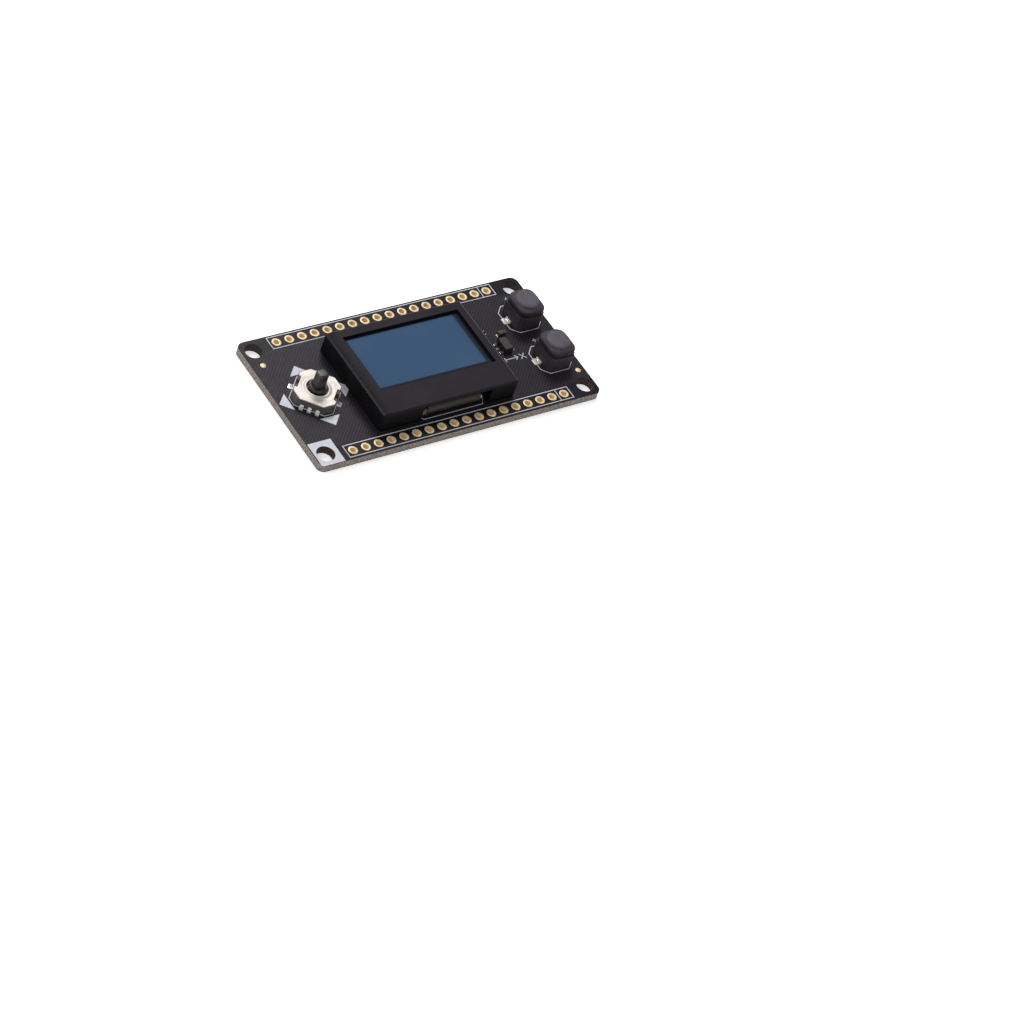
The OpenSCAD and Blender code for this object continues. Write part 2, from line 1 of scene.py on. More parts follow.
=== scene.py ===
import math
import bmesh
import bpy
from mathutils import Matrix, Vector
from mathutils.geometry import delaunay_2d_cdt


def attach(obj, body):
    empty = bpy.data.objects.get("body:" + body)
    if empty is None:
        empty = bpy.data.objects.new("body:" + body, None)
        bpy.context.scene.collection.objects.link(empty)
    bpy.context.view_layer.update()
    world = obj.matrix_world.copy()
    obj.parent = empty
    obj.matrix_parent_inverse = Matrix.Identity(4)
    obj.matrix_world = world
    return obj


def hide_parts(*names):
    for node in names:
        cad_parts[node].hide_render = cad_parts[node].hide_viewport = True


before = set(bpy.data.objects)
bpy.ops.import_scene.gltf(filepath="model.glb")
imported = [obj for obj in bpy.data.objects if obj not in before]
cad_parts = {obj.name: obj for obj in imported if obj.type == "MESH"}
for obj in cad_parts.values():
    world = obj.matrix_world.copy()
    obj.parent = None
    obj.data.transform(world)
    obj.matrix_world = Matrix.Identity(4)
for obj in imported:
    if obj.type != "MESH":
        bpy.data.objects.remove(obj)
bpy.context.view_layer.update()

# The bare board: glass cloth and resin, pressed and routed to shape, then coated matt black on both
# faces. A hatched copper ground shows faintly through the coat, and the raw laminate shows at the edges
# and in the holes.
MM = 0.001
BOARD_TOP = 1.6
HOLE_X = 26.5
HOLE_Y = 12.0
HOLE_R = 1.55
PAD_ROW_Y = 12.7


def tone(red, green, blue):
    """A colour as the eye sees it, 0 to 255, turned into the shader's linear colour."""
    return [((c / 255 + 0.055) / 1.055) ** 2.4 for c in (red, green, blue)] + [1.0]


def finish(name, **sockets):
    """A new material. The sockets given here have one value all over."""
    made = bpy.data.materials.new(name)
    made.use_nodes = True
    shader = made.node_tree.nodes["Principled BSDF"]
    for socket, value in sockets.items():
        shader.inputs[socket.replace("_", " ")].default_value = value
    return made


def wire(made, kind, settings=(), **inputs):
    """Adds one node to a material. An input is named by its identifier, and is a value or an output."""
    node = made.node_tree.nodes.new("ShaderNode" + kind)
    for setting, value in dict(settings).items():
        setattr(node, setting, value)
    for socket in node.inputs:
        value = inputs.get(socket.identifier.replace(" ", "_"))
        if isinstance(value, bpy.types.NodeSocket):
            made.node_tree.links.new(value, socket)
        elif value is not None:
            socket.default_value = value
    return next(socket for socket in node.outputs if socket.enabled)


def to_shader(made, socket, value):
    """Joins a node's output to the shader."""
    made.node_tree.links.new(value, made.node_tree.nodes["Principled BSDF"].inputs[socket])


def place_on(made):
    """The place on the piece, in metres."""
    node = made.node_tree.nodes.new("ShaderNodeTexCoord")
    return node.outputs["Object"]


def sum_of(made, operation, first, second=0.0):
    """One step of arithmetic between node outputs or numbers."""
    return wire(made, "Math", {"operation": operation}, Value=first, Value_001=second)


def between(made, value, low, high, first=0.0, last=1.0):
    """Takes a value from the range low to high into the range first to last, with soft ends."""
    shape = {"interpolation_type": "SMOOTHSTEP"}
    return wire(made, "MapRange", shape, Value=value, From_Min=low, From_Max=high,
                To_Min=first, To_Max=last)


def clouds(made, size, detail=3.0, stretch=(1, 1, 1)):
    """Soft noise with patches of about this size in mm."""
    spread = wire(made, "Mapping", Vector=place_on(made), Scale=[s / (size * MM) for s in stretch])
    return wire(made, "TexNoise", Vector=spread, Scale=1.0, Detail=detail)


def mix_of(made, share, first, second):
    """A colour between two colours."""
    return wire(made, "Mix", {"data_type": "RGBA"}, Factor_Float=share, A_Color=first, B_Color=second)


def patchy(made, size, first, second, low=0.3, high=0.7, detail=3.0):
    """A colour that wanders between two tones, in soft patches of about this size in mm."""
    return mix_of(made, between(made, clouds(made, size, detail), low, high), first, second)


def gloss(made, size, smoothest, roughest, stretch=(1, 1, 1)):
    """Lets a material's roughness wander between two values, in patches of about this size in mm."""
    patches = clouds(made, size, stretch=stretch)
    to_shader(made, "Roughness", between(made, patches, 0.3, 0.7, smoothest, roughest))


def relief(made, height, depth):
    """Raises or sinks the surface by a pattern, depth in mm, on top of any relief it already has."""
    shader = made.node_tree.nodes["Principled BSDF"]
    before = [link.from_socket for link in shader.inputs["Normal"].links]
    more = {"Normal": before[0]} if before else {}
    bump = wire(made, "Bump", Height=height, Distance=depth * MM, Strength=1.0, **more)
    to_shader(made, "Normal", bump)


def object_from(form, name, smooth_up_to=40):
    """Turns a bmesh into an object, shaded smooth over edges blunter than the given angle."""
    mesh = bpy.data.meshes.new(name)
    form.to_mesh(mesh)
    form.free()
    mesh.shade_smooth()
    mesh.set_sharp_from_angle(angle=math.radians(smooth_up_to))
    piece = bpy.data.objects.new(name, mesh)
    bpy.context.scene.collection.objects.link(piece)
    return piece


def copy_of(node, name):
    """A merged copy of a CAD piece, ready for softer edges."""
    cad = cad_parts[node].data
    mesh = bpy.data.meshes.new(name)
    mesh.from_pydata([v.co for v in cad.vertices], [], [list(f.vertices) for f in cad.polygons])
    form = bmesh.new()
    form.from_mesh(mesh)
    bmesh.ops.remove_doubles(form, verts=form.verts, dist=0.0005 * MM)
    bmesh.ops.dissolve_limit(form, angle_limit=math.radians(0.5), verts=form.verts, edges=form.edges)
    bpy.data.meshes.remove(mesh)
    return object_from(form, name)


def soften(piece, width, steps=2, above=40, wanted=None):
    """Rounds a piece's sharp edges to this width in mm. wanted picks edges by their middle, in mm."""
    form = bmesh.new()
    form.from_mesh(piece.data)
    weight = form.edges.layers.float.new("bevel_weight_edge")
    for edge in form.edges:
        middle = (edge.verts[0].co + edge.verts[1].co) / 2 / MM
        sharp = len(edge.link_faces) == 2 and edge.calc_face_angle() > math.radians(above)
        edge[weight] = 1.0 if sharp and (wanted is None or wanted(middle)) else 0.0
    form.to_mesh(piece.data)
    form.free()
    bevel = piece.modifiers.new("soft edges", "BEVEL")
    bevel.limit_method = "WEIGHT"
    bevel.width = width * MM
    bevel.segments = steps
    bevel.use_clamp_overlap = False
    bevel.harden_normals = True
    return piece


def coat(piece, *materials):
    """Gives a piece its materials. Each face keeps the number of the one it has."""
    which = [face.material_index for face in piece.data.polygons]
    piece.data.materials.clear()
    for made in materials:
        piece.data.materials.append(made)
    piece.data.polygons.foreach_set("material_index", which)


def clear_of_pads(place):
    """Whether a place, in mm, is clear of the two rows of plated holes, whose edges stay sharp."""
    return abs(abs(place.y) - PAD_ROW_Y) > 1.0 or abs(place.x) > 23


board = soften(copy_of("circuit_board", "circuit_board_coated"), 0.07, wanted=clear_of_pads)
for face in board.data.polygons:
    from_hole = math.hypot(abs(face.center.x) / MM - HOLE_X, abs(face.center.y) / MM - HOLE_Y)
    drilled = from_hole < HOLE_R + 0.15
    face.material_index = 0 if abs(face.normal.z) > 0.5 else 2 if drilled else 1

HATCH_PITCH = 0.5
HATCH_EDGE_Y = 11.0
black_coat = finish("black board coat", Specular_IOR_Level=0.11)
split = wire(black_coat, "SeparateXYZ", Vector=place_on(black_coat)).node
hatch = []
for sign in ("ADD", "SUBTRACT"):
    slant = sum_of(black_coat, sign, split.outputs["X"], split.outputs["Y"])
    turns = sum_of(black_coat, "MULTIPLY", slant, math.sqrt(0.5) / (HATCH_PITCH * MM))
    hatch.append(between(black_coat, sum_of(black_coat, "PINGPONG", turns, 0.5), 0.13, 0.27, 1.0, 0.0))
lines = sum_of(black_coat, "MAXIMUM", *hatch)
from_middle_y = sum_of(black_coat, "ABSOLUTE", split.outputs["Y"])
inside_y = between(black_coat, from_middle_y, HATCH_EDGE_Y * MM, (HATCH_EDGE_Y + 0.2) * MM, 1.0, 0.0)
lines = sum_of(black_coat, "MULTIPLY", lines, inside_y)
ground = patchy(black_coat, 9.0, tone(18, 15, 21), tone(23, 20, 27))
to_shader(black_coat, "Base Color", mix_of(black_coat, lines, ground, tone(44, 40, 47)))
gloss(black_coat, 0.6, 0.36, 0.46)
relief(black_coat, lines, 0.012)
relief(black_coat, clouds(black_coat, 0.15), 0.003)

raw_edge = finish("raw laminate edge", Roughness=0.75, Specular_IOR_Level=0.3)
fibres = clouds(raw_edge, 0.35, detail=6.0, stretch=(1, 1, 3.5))
weave = mix_of(raw_edge, between(raw_edge, fibres, 0.42, 0.58), tone(80, 73, 68), tone(142, 133, 127))
level = wire(raw_edge, "SeparateXYZ", Vector=place_on(raw_edge)).node.outputs["Z"]
from_middle = sum_of(raw_edge, "ABSOLUTE", sum_of(raw_edge, "SUBTRACT", level, BOARD_TOP / 2 * MM))
near_face = between(raw_edge, from_middle, 0.64 * MM, 0.74 * MM)
to_shader(raw_edge, "Base Color", mix_of(raw_edge, near_face, weave, tone(60, 52, 50)))
relief(raw_edge, fibres, 0.03)

drilled_wall = finish("drilled hole wall", Roughness=0.7, Specular_IOR_Level=0.25)
drill_marks = clouds(drilled_wall, 0.3, detail=5.0, stretch=(1, 1, 3))
wall_shade = between(drilled_wall, drill_marks, 0.36, 0.64)
to_shader(drilled_wall, "Base Color", mix_of(drilled_wall, wall_shade, tone(34, 26, 23), tone(66, 51, 43)))
relief(drilled_wall, drill_marks, 0.03)
coat(board, black_coat, raw_edge, drilled_wall)
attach(board, "root")
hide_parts("circuit_board")

# The plated holes: drilled, lined with copper, and gilded on the rings and down the barrels. There are
# two rows of eighteen at a pitch of 2.54 mm, two bare gold discs that the placement machine looks for,
# and a few small holes between the layers that the coat runs over.
PADS_IN_ROW = 18
PAD_PITCH = 2.54
PAD_R = 0.85
PAD_HOLE_R = 0.5
BARREL_R = 0.55
COPPER = 0.04


def loft(rings, name, corner=9, closed=False):
    """Skins a stack of rings. A ring is a level, half a length, half a width and a corner, in mm."""
    form = bmesh.new()
    loops = []
    for level, half_l, half_w, r in rings:
        loop = []
        for quarter, (sx, sy) in enumerate([(1, 1), (-1, 1), (-1, -1), (1, -1)]):
            for step in range(corner):
                turn = (quarter + step / (corner - 1)) * math.pi / 2
                x = sx * (half_l - r) + r * math.cos(turn)
                y = sy * (half_w - r) + r * math.sin(turn)
                loop.append(form.verts.new((x * MM, y * MM, level * MM)))
        loops.append(loop)
    pairs = list(zip(loops, loops[1:])) + ([(loops[-1], loops[0])] if closed else [])
    for low, high in pairs:
        for a, b, c, d in zip(low, low[1:] + low[:1], high[1:] + high[:1], high):
            form.faces.new((a, b, c, d))
    if not closed:
        form.faces.new(loops[0][::-1])
        form.faces.new(loops[-1])
    bmesh.ops.remove_doubles(form, verts=form.verts, dist=0.0005 * MM)
    bmesh.ops.dissolve_degenerate(form, edges=form.edges, dist=0.0002 * MM)
    bmesh.ops.recalc_face_normals(form, faces=form.faces)
    return object_from(form, name) if name else form


def turned(profile, name, closed=False, corner=9):
    """A round piece. The profile is a list of radii and levels, in mm."""
    return loft([(level, r, r, r) for r, level in profile], name, corner, closed)


place_tree = bpy.data.node_groups.new("repeat a piece at places", "GeometryNodeTree")
place_in = {}
for label, kind in (("Geometry", "NodeSocketGeometry"), ("Piece", "NodeSocketObject"),
                    ("Finish", "NodeSocketMaterial")):
    socket = place_tree.interface.new_socket(label, in_out="INPUT", socket_type=kind)
    place_in[label] = socket.identifier
place_tree.interface.new_socket("Geometry", in_out="OUTPUT", socket_type="NodeSocketGeometry")


def tree_node(tree, kind, settings=(), **inputs):
    """Adds one node to a geometry tree, joined as wire() joins a material's."""
    node = tree.nodes.new(kind)
    for setting, value in dict(settings).items():
        setattr(node, setting, value)
    for socket in node.inputs:
        value = inputs.get(socket.identifier.replace(" ", "_"))
        if isinstance(value, bpy.types.NodeSocket):
            tree.links.new(value, socket)
        elif value is not None:
            socket.default_value = value
    return node


def end_tree(tree, shape, made):
    """Ends a tree: real faces, one material."""
    real = tree_node(tree, "GeometryNodeRealizeInstances", Geometry=shape)
    coated = tree_node(tree, "GeometryNodeSetMaterial", Geometry=real.outputs[0], Material=made)
    leave = tree.nodes.new("NodeGroupOutput")
    tree.links.new(coated.outputs[0], leave.inputs[0])


enter = place_tree.nodes.new("NodeGroupInput")
source = tree_node(place_tree, "GeometryNodeObjectInfo", Object=enter.outputs["Piece"])
turn_of = tree_node(place_tree, "GeometryNodeInputNamedAttribute", {"data_type": "FLOAT"},
                    Name="turn")
size_of = tree_node(place_tree, "GeometryNodeInputNamedAttribute", {"data_type": "FLOAT_VECTOR"},
                    Name="size")
upright = tree_node(place_tree, "ShaderNodeCombineXYZ", Z=turn_of.outputs[0])
laid = tree_node(place_tree, "FunctionNodeEulerToRotation", Euler=upright.outputs[0])
repeated = tree_node(place_tree, "GeometryNodeInstanceOnPoints", Points=enter.outputs["Geometry"],
                     Instance=source.outputs["Geometry"], Rotation=laid.outputs[0],
                     Scale=size_of.outputs[0])
end_tree(place_tree, repeated.outputs[0], enter.outputs["Finish"])


def grow(points, tree, inputs):
    """Runs a geometry tree on an object and keeps its result as a plain mesh."""
    modifier = points.modifiers.new(tree.name, "NODES")
    modifier.node_group = tree
    for identifier, value in inputs.items():
        modifier[identifier] = value
    depsgraph = bpy.context.evaluated_depsgraph_get()
    result = bpy.data.meshes.new_from_object(points.evaluated_get(depsgraph))
    points.modifiers.clear()
    points.data = result
    return points


def repeat(source_piece, places, name, made):
    """One mesh of a piece at many places. A place is x, y, z in mm, a turn in degrees, and a size."""
    mesh = bpy.data.meshes.new(name)
    mesh.from_pydata([Vector(p[:3]) * MM for p in places], [], [])
    turns = mesh.attributes.new("turn", "FLOAT", "POINT")
    sizes = mesh.attributes.new("size", "FLOAT_VECTOR", "POINT")
    for i, p in enumerate(places):
        turns.data[i].value = math.radians(p[3] if len(p) > 3 else 0)
        sizes.data[i].vector = p[4] if len(p) > 4 else (1, 1, 1)
    points = bpy.data.objects.new(name, mesh)
    bpy.context.scene.collection.objects.link(points)
    return grow(points, place_tree, {place_in["Piece"]: source_piece, place_in["Finish"]: made})


gilding = finish("gilded copper")
rim_gold = patchy(gilding, 0.5, tone(200, 177, 140), tone(224, 203, 167))
depth = wire(gilding, "SeparateXYZ", Vector=place_on(gilding)).node.outputs["Z"]
in_barrel = between(gilding, depth, (BOARD_TOP - 0.2) * MM, (BOARD_TOP - 0.01) * MM, 1.0, 0.0)
to_shader(gilding, "Base Color", mix_of(gilding, in_barrel, rim_gold, tone(220, 194, 140)))
less_metal = sum_of(gilding, "MULTIPLY", in_barrel, 0.2)
to_shader(gilding, "Metallic", sum_of(gilding, "SUBTRACT", 0.3, less_metal))
gloss(gilding, 0.2, 0.48, 0.6)
relief(gilding, clouds(gilding, 0.12), 0.004)

plated_hole = turned([
    (PAD_HOLE_R, 0.03), (0.54, 0.0), (PAD_R, 0.0), (PAD_R, COPPER), (BARREL_R, COPPER),
    (BARREL_R, BOARD_TOP), (PAD_R, BOARD_TOP), (PAD_R, BOARD_TOP + 0.02),
    (PAD_R - 0.03, BOARD_TOP + COPPER), (0.56, BOARD_TOP + COPPER), (0.52, BOARD_TOP + 0.025),
    (PAD_HOLE_R, BOARD_TOP - 0.02),
], "plated_hole", closed=True)
for side, word in ((1, "far"), (-1, "near")):
    row = [((i - (PADS_IN_ROW - 1) / 2) * PAD_PITCH, side * PAD_ROW_Y, 0) for i in range(PADS_IN_ROW)]
    pads = repeat(plated_hole, row, f"{word}_plated_holes", gilding)
    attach(pads, "root")
    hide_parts(f"header_pads_{word}")
bpy.data.objects.remove(plated_hole)

bare_disc = turned([(0.5, BOARD_TOP), (0.5, BOARD_TOP + 0.02), (0.47, BOARD_TOP + COPPER)], "bare_disc")
discs = repeat(bare_disc, [(-26.6, 8.6, 0), (27.3, -8.7, 0)], "bare_gold_discs", gilding)
bpy.data.objects.remove(bare_disc)
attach(discs, "root")
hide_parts("alignment_marks")

coated_via = turned([
    (0.34, BOARD_TOP), (0.3, BOARD_TOP + 0.012), (0.2, BOARD_TOP + 0.016), (0.12, BOARD_TOP + 0.006),
], "coated_via", corner=5)
via_places = [
    (-16.5, -3.2, 0, 0, (1.35, 1.35, 1)), (-16.9, 5.6, 0), (-24.6, 4.9, 0), (-19.6, -8.2, 0),
    (-17.3, 8.9, 0), (15.2, 7.6, 0), (19.4, -6.9, 0), (17.1, -8.6, 0), (20.6, 9.6, 0), (15.3, -4.7, 0),
]
vias = repeat(coated_via, via_places, "coated_vias", black_coat)
bpy.data.objects.remove(coated_via)
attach(vias, "root")

# The white ink: screened onto the coat after it has cured, a few hundredths of a millimetre thick.
# It frames the rows of holes and the parts, marks one corner hole, and shows the stick's four ways.
INK = 0.03
INK_LINE = 0.16
STICK_X = -21.5

stroke_tree = bpy.data.node_groups.new("draw ink along paths", "GeometryNodeTree")
stroke_in = {}
for label, kind in (("Geometry", "NodeSocketGeometry"), ("Width", "NodeSocketFloat"),
                    ("Thickness", "NodeSocketFloat"), ("Finish", "NodeSocketMaterial")):
    socket = stroke_tree.interface.new_socket(label, in_out="INPUT", socket_type=kind)
    stroke_in[label] = socket.identifier
stroke_tree.interface.new_socket("Geometry", in_out="OUTPUT", socket_type="NodeSocketGeometry")
enter = stroke_tree.nodes.new("NodeGroupInput")
pen = tree_node(stroke_tree, "GeometryNodeCurvePrimitiveQuadrilateral",
                Width=enter.outputs["Width"], Height=enter.outputs["Thickness"])
path = tree_node(stroke_tree, "GeometryNodeMeshToCurve", Mesh=enter.outputs["Geometry"])
flat = tree_node(stroke_tree, "GeometryNodeSetCurveNormal", {"mode": "Z_UP"}, Curve=path.outputs[0])
spread_of = tree_node(stroke_tree, "GeometryNodeInputNamedAttribute", {"data_type": "FLOAT"},
                      Name="corner")
drawn = tree_node(stroke_tree, "GeometryNodeCurveToMesh", Curve=flat.outputs[0],
                  Profile_Curve=pen.outputs[0], Scale=spread_of.outputs[0], Fill_Caps=True)
end_tree(stroke_tree, drawn.outputs[0], enter.outputs["Finish"])


def strokes(paths, name, made, width):
    """Ink lines along paths in mm. A path that ends where it starts is closed."""
    points, edges, corners = [], [], []
    for way in paths:
        closed = way[0] == way[-1]
        way = [Vector(p) for p in (way[:-1] if closed else way)]
        first, count = len(points), len(way)
        for i, p in enumerate(way):
            spread = 1.0
            if closed or 0 < i < count - 1:
                come, go = p - way[i - 1], way[(i + 1) % count] - p
                spread = 1 / math.cos(come.angle(go) / 2)
            points.append((p.x * MM, p.y * MM, (BOARD_TOP + INK / 2) * MM))
            corners.append(spread)
        edges += [(first + i, first + i + 1) for i in range(count - 1)]
        edges += [(first + count - 1, first)] if closed else []
    mesh = bpy.data.meshes.new(name)
    mesh.from_pydata(points, edges, [])
    mesh.attributes.new("corner", "FLOAT", "POINT").data.foreach_set("value", corners)
    lines_piece = bpy.data.objects.new(name, mesh)
    bpy.context.scene.collection.objects.link(lines_piece)
    return grow(lines_piece, stroke_tree, {
        stroke_in["Width"]: width * MM, stroke_in["Thickness"]: INK * MM, stroke_in["Finish"]: made})


def inside(point, outline):
    """Whether a point lies inside a closed outline."""
    hit = False
    for a, b in zip(outline, outline[1:] + outline[:1]):
        if (a[1] > point[1]) != (b[1] > point[1]):
            hit ^= point[0] < (b[0] - a[0]) * (point[1] - a[1]) / (b[1] - a[1]) + a[0]
    return hit


def flat_shape(outline, holes, low, high, form=None):
    """A flat plate between two levels, with holes, from outlines in mm."""
    form = form or bmesh.new()
    loops = [outline] + holes
    points = [Vector(p) for loop in loops for p in loop]
    edges, first = [], 0
    for loop in loops:
        edges += [(first + i, first + (i + 1) % len(loop)) for i in range(len(loop))]
        first += len(loop)
    found, _, faces, *_ = delaunay_2d_cdt(points, edges, [], 1, 1e-7)
    kept = []
    for face in faces:
        middle = sum((found[i] for i in face), Vector((0, 0))) / len(face)
        if inside(middle, outline) and not any(inside(middle, hole) for hole in holes):
            kept.append(face)
    used = sorted({i for face in kept for i in face})
    under = {i: form.verts.new((found[i].x * MM, found[i].y * MM, low * MM)) for i in used}
    over = {i: form.verts.new((found[i].x * MM, found[i].y * MM, high * MM)) for i in used}
    sides = [side for face in kept for side in zip(face, face[1:] + face[:1])]
    for face in kept:
        form.faces.new([under[i] for i in face[::-1]])
        form.faces.new([over[i] for i in face])
    # A side that no second face shares is on the rim, and gets a wall.
    for a, b in sides:
        if (b, a) not in sides:
            form.faces.new((under[a], under[b], over[b], over[a]))
    bmesh.ops.recalc_face_normals(form, faces=form.faces)
    return form


def around(x, y, points, turn=0):
    """Points in mm, turned in degrees and moved."""
    c, s = math.cos(math.radians(turn)), math.sin(math.radians(turn))
    return [(x + c * u - s * v, y + s * u + c * v) for u, v in points]


def cut_corners(half_l, half_w, cut):
    """The outline of a rectangle with its corners cut off."""
    quarter = [(half_l, half_w - cut), (half_l - cut, half_w)]
    upper = quarter + [(-x, y) for x, y in quarter[::-1]]
    return upper + [(-x, -y) for x, y in upper]


white_ink = finish("white board ink", Roughness=0.6, Specular_IOR_Level=0.3)
ink_grain = clouds(white_ink, 0.25, detail=5.0)
ink_shade = between(white_ink, ink_grain, 0.3, 0.7)
to_shader(white_ink, "Base Color", mix_of(white_ink, ink_shade, tone(184, 186, 194), tone(204, 205, 213)))
relief(white_ink, ink_grain, 0.008)

ROW_END = 22.9
FIRST_HOLE = 8 * PAD_PITCH
paths = []
for side in (-1, 1):
    near, far = side * (PAD_ROW_Y - PAD_PITCH / 2), side * (PAD_ROW_Y + PAD_PITCH / 2)
    paths.append([(-ROW_END, near), (ROW_END, near), (ROW_END, far), (-ROW_END, far), (-ROW_END, near)])
    paths.append([(FIRST_HOLE, near), (FIRST_HOLE, far)])
row_frames = strokes(paths, "row_frames", white_ink, INK_LINE)

# Outlines round the stick switch and the two buttons.
paths = [around(STICK_X, 0, cut_corners(3.85, 3.85, 1.2), 45)]
for middle in (5.35, -4.65):
    paths.append(around(23.95, middle, cut_corners(3.25, 3.25, 1.3)))
paths = [way + way[:1] for way in paths]
# The bracket in front of the tail, then the axis arrow and its letter.
paths.append([(-6.6, -9.6), (-6.0, -10.4), (6.0, -10.4), (6.7, -9.2)])
paths.append([(15.7, -2.8), (18.3, -2.8)])
paths.append([(17.75, -2.3), (18.3, -2.8), (17.75, -3.3)])
paths.append([(15.7, -3.3), (15.7, -2.3)])
paths.append([(18.75, -3.4), (19.85, -2.2)])
paths.append([(18.75, -2.2), (19.85, -3.4)])
# A plus sign beside each button, and two ticks beside the chip.
for x, y in ((24.15, 9.9), (23.5, -0.2)):
    paths.append([(x - 0.42, y), (x + 0.42, y)])
    paths.append([(x, y - 0.42), (x, y + 0.42)])
for y in (4.4, 3.6):
    paths.append([(15.5, y), (15.75, y)])
part_marks = strokes(paths, "part_marks", white_ink, 0.15)

INK_HOLE_R = 1.62
ring = [(-HOLE_X + INK_HOLE_R * math.cos(t), -HOLE_Y + INK_HOLE_R * math.sin(t))
        for t in (i * math.tau / 48 for i in range(48))]
corner_square = [(-28.55, -14.1), (-28.2, -14.35), (-24.05, -14.35), (-24.05, -9.3), (-28.55, -9.3)]
solid = flat_shape(corner_square, [ring], BOARD_TOP, BOARD_TOP + INK)
for turn in (0, 90, 180, 270):
    arrow = around(STICK_X, 0, [(5.0, -1.9), (6.95, 0), (5.0, 1.9)], turn)
    flat_shape(arrow, [], BOARD_TOP, BOARD_TOP + INK, solid)
ink_solids = object_from(solid, "ink_solids")
coat(ink_solids, white_ink)
for piece in (row_frames, part_marks, ink_solids):
    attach(piece, "root")

# The small parts: fired ceramic capacitors and resistors with metal ends, and a moulded six-lead chip.
# They are placed in solder paste on the board and soldered in an oven before the display goes on.
capacitor_places = [(x, 4.1125, BOARD_TOP) for x in (-8.6, -5.0, -1.4, 2.2, 5.8)]
capacitor_places.append((18.3, 2.65, BOARD_TOP))
resistor_places = [(x, -0.6875, BOARD_TOP) for x in (-5.0, -1.4, 2.2)]


def chip_block(half_l, half_w, height, name, soft=0.06):
    """A small block with rounded edges, its length along x."""
    return loft([(0.0, half_l, half_w, soft), (height - soft, half_l, half_w, soft),
                 (height - soft * 0.3, half_l - soft * 0.3, half_w - soft * 0.3, soft),
                 (height, half_l - soft, half_w - soft, soft)], name, corner=4)


def two_ends(height, soft, name):
    """The two metal caps of a small part."""
    form = bmesh.new()
    for side in (-1, 1):
        cap = chip_block(0.15, 0.4, height, "one_end", soft=soft)
        cap.data.transform(Matrix.Translation((side * 0.65 * MM, 0, 0)))
        form.from_mesh(cap.data)
        bpy.data.objects.remove(cap)
    return object_from(form, name)


def mottle(made, size, first, second, low=0.3, high=0.7, detail=3.0):
    """Colours a material all over in soft patches."""
    to_shader(made, "Base Color", patchy(made, size, first, second, low, high, detail))


ceramic = finish("fired ceramic", Roughness=0.55)
mottle(ceramic, 0.3, tone(30, 22, 20), tone(44, 32, 28))
relief(ceramic, clouds(ceramic, 0.1), 0.006)
dark_glaze = finish("resistor glaze", Roughness=0.35)
mottle(dark_glaze, 0.4, tone(24, 24, 27), tone(38, 37, 40))
relief(dark_glaze, clouds(dark_glaze, 0.2), 0.004)
fired_ends = finish("fired end metal", Metallic=0.3, Roughness=0.6)
mottle(fired_ends, 0.3, tone(58, 44, 39), tone(86, 70, 63))
relief(fired_ends, clouds(fired_ends, 0.15), 0.008)

for word, places, height, body_finish in (("capacitor", capacitor_places, 0.8, ceramic),
                                          ("resistor", resistor_places, 0.45, dark_glaze)):
    body_source = chip_block(0.5, 0.39, height - 0.02, "body_source")
    bodies = repeat(body_source, places, f"{word}_blocks", body_finish)
    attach(bodies, "root")
    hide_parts(f"{word}_bodies")
    end_source = two_ends(height, 0.08, "end_source")
    ends = repeat(end_source, places, f"{word}_end_caps", fired_ends)
    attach(ends, "root")
    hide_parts(f"{word}_ends")
    bpy.data.objects.remove(body_source)
    bpy.data.objects.remove(end_source)

epoxy = finish("moulded epoxy", Roughness=0.55, Specular_IOR_Level=0.3)
mottle(epoxy, 0.5, tone(36, 33, 35), tone(46, 43, 45))
relief(epoxy, clouds(epoxy, 0.08), 0.01)
support_chip = soften(copy_of("support_chip", "support_chip_moulding"), 0.08, 3)
coat(support_chip, epoxy)
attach(support_chip, "root")
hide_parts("support_chip")
chip_leads = soften(copy_of("support_chip_leads", "support_chip_legs"), 0.03)
# The chip's leads get a much darker copy of the tinned metal: painted shade.
tin_painted_shade = finish("tinned leads painted shade", Metallic=0.5, Roughness=0.6)
mottle(tin_painted_shade, 0.3, tone(52, 47, 44), tone(96, 89, 83))
relief(tin_painted_shade, clouds(tin_painted_shade, 0.15), 0.008)
coat(chip_leads, tin_painted_shade)
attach(chip_leads, "root")
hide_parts("support_chip_leads")

# The two push buttons: a black nylon base and housing round a steel snap dome, with a soft matt cap on
# top. The cap's plunger is held in by its flange, and the two tinned terminals are soldered down.
BUTTON_X = 24.1
BUTTON_Y = {"far": 5.25, "near": -4.75}

nylon = finish("black nylon", Specular_IOR_Level=0.2)
mottle(nylon, 1.5, tone(50, 47, 51), tone(58, 55, 59))
gloss(nylon, 0.3, 0.4, 0.55)
relief(nylon, clouds(nylon, 0.12), 0.008)
soft_black = finish("soft matt cap", Specular_IOR_Level=0.2)
# The cap is painted darker down its skirt and lighter on its round top: painted shade and painted light.
cap_level = wire(soft_black, "SeparateXYZ", Vector=place_on(soft_black)).node.outputs["Z"]
painted_shade_up_side = between(soft_black, cap_level, 5.4 * MM, 5.9 * MM)
painted_light_to_top = between(soft_black, cap_level, 5.84 * MM, 6.3 * MM)
cap_side_painted_shade = mix_of(soft_black, painted_shade_up_side, tone(36, 33, 38), tone(58, 55, 62))
cap_top_painted_light = patchy(soft_black, 1.2, tone(76, 73, 81), tone(85, 81, 90))
to_shader(soft_black, "Base Color", mix_of(soft_black, painted_light_to_top, cap_side_painted_shade, cap_top_painted_light))
gloss(soft_black, 0.3, 0.6, 0.75)
relief(soft_black, clouds(soft_black, 0.1), 0.012)
tin = finish("tinned metal", Metallic=0.35)
mottle(tin, 0.4, tone(196, 192, 184), tone(232, 229, 222))
gloss(tin, 0.15, 0.24, 0.42)
relief(tin, clouds(tin, 0.1), 0.008)
spring = finish("spring steel", Metallic=1.0)
mottle(spring, 0.8, tone(176, 175, 170), tone(208, 206, 200))
gloss(spring, 0.3, 0.2, 0.35, stretch=(1, 8, 1))

